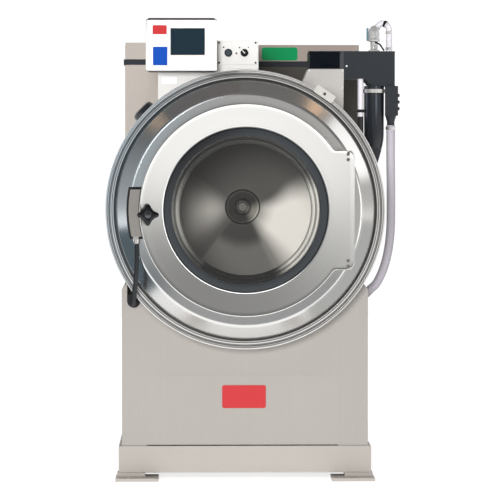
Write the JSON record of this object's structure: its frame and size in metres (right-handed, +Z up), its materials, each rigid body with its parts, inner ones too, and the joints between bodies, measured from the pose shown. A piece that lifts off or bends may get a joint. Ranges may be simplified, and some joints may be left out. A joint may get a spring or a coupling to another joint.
{
  "type": "washer-extractor",
  "caption": "Open-pocket front-loading washer-extractor: round glass door on a drum shell over a steel base, with control box, supply box and rear drive cabinet.",
  "frame": {"origin": "centre of the four floor anchor holes, on the floor", "axes": "+X to the machine's right as seen from the front, the door faces -Y, +Z up"},
  "size_m": [0.9289, 1.2431, 1.45],
  "materials": {
    "sheet_steel": "brushed stainless steel sheet",
    "frame_steel": "satin beige-grey paint",
    "shell_steel": "turned and brushed stainless steel",
    "bright_steel": "polished stainless steel",
    "door_steel": "fine brushed stainless steel",
    "drum_steel": "polished stainless steel",
    "shaft_steel": "machined steel",
    "latch_case": "cast and brushed",
    "fitting_metal": "plated fittings",
    "screw_steel": "dark screw heads",
    "seal_rubber": "dark blue-grey rubber",
    "black_rubber": "black rubber",
    "window_glass": "clear toughened glass",
    "screen_glass": "dark display behind clear plastic",
    "white_face": "white moulded plastic",
    "box_dark": "dark brown-grey paint",
    "black_plastic": "black moulded plastic",
    "supply_plastic": "dark grey moulded plastic",
    "flap_gloss": "gloss black",
    "clear_tube": "milky clear hose",
    "lamp_red": "red lens",
    "cast_grey": "painted casting",
    "valve_blue": "blue-grey moulded plastic"
  },
  "bodies": {
    "root": {"cross_channels": "frame_steel", "side_rails": "frame_steel", "floor_pads": "frame_steel", "front_panel": "sheet_steel", "side_panels": "sheet_steel", "shell_cradles": "frame_steel", "shell": "shell_steel", "front_head": "shell_steel", "clamp_ring": "bright_steel", "clamp_plate": "sheet_steel", "vent_boot": "black_rubber", "hinge_brackets": "bright_steel", "latch_housing": "latch_case", "conduit_fittings": "fitting_metal", "door_conduit": "black_rubber", "control_support": "sheet_steel", "control_box": "box_dark", "control_face": "white_face", "touch_screen": "screen_glass", "panel_screws": "screw_steel", "switch_plate": "sheet_steel", "pilot_lamp": "lamp_red", "rear_bulkhead": "sheet_steel", "rear_back_panel": "sheet_steel", "cabinet_band": "supply_plastic", "electrical_boxes": "sheet_steel", "supply_box": "supply_plastic", "supply_chute": "sheet_steel", "supply_hose": "black_rubber", "hose_clamps": "bright_steel", "clear_hoses": "clear_tube", "dosing_manifold": "supply_plastic", "flush_hose": "clear_tube", "hose_fittings": "supply_plastic", "fill_pipe": "bright_steel", "bearing_housing": "cast_grey", "bearings": "shaft_steel", "drive_belts": "black_rubber", "motor": "cast_grey", "drain_pipes": "shell_steel", "drain_valve": "cast_grey", "inlet_valves": "valve_blue"},
    "door": {"door_ring": "door_steel", "door_seals": "seal_rubber", "door_glass": "window_glass", "hinge_lugs": "bright_steel", "hinge_bolts": "bright_steel"},
    "door_latch": {"star_knob": "black_plastic", "latch_pawl": "bright_steel"},
    "drum": {"drum_wall": "drum_steel", "drum_back": "drum_steel", "drum_hub": "drum_steel", "lifting_ribs": "drum_steel", "drive_shaft": "shaft_steel", "drum_pulley": "cast_grey"},
    "motor_rotor": {"motor_pulley": "cast_grey"},
    "stop_button": {"stop_button": "black_plastic"},
    "selector": {"selector_knob": "black_plastic"},
    "supply_flap": {"supply_flap": "flap_gloss"},
    "drain_ball": {"drain_ball": "shaft_steel"}
  },
  "joints": [
    {"name": "door_hinge", "type": "hinge", "parent": "root", "child": "door", "pos_m": [0.323, -0.648, 0.848], "axis": [0, 0, 1], "range_deg": [0, 105]},
    {"name": "latch_turn", "type": "hinge", "parent": "door", "child": "door_latch", "pos_m": [-0.301, -0.65, 0.834], "axis": [0, 1, 0], "range_deg": [-90, 0]},
    {"name": "drum_spin", "type": "hinge", "parent": "root", "child": "drum", "pos_m": [0, 0, 0.848], "axis": [0, 1, 0], "continuous": true},
    {"name": "motor_spin", "type": "hinge", "parent": "root", "child": "motor_rotor", "pos_m": [0.18, 0.3, 0.33], "axis": [0, 1, 0], "continuous": true},
    {"name": "button_push", "type": "slide", "parent": "root", "child": "stop_button", "axis": [0, 1, 0], "range_m": [0, 0.004], "stiffness_N_per_m": 1500},
    {"name": "selector_turn", "type": "hinge", "parent": "root", "child": "selector", "pos_m": [-0.002, -0.48, 1.337], "axis": [0, 1, 0], "range_deg": [0, 90]},
    {"name": "flap_hinge", "type": "hinge", "parent": "root", "child": "supply_flap", "pos_m": [0.25, -0.3536, 1.344], "axis": [-1, 0, 0], "range_deg": [0, 100]},
    {"name": "drain_ball_turn", "type": "hinge", "parent": "root", "child": "drain_ball", "pos_m": [0, -0.115, 0.25], "axis": [1, 0, 0], "range_deg": [0, 90]}
  ],
  "couplings": [
    {"joint": "motor_spin", "follows": "drum_spin", "ratio": 4.6294}
  ]
}
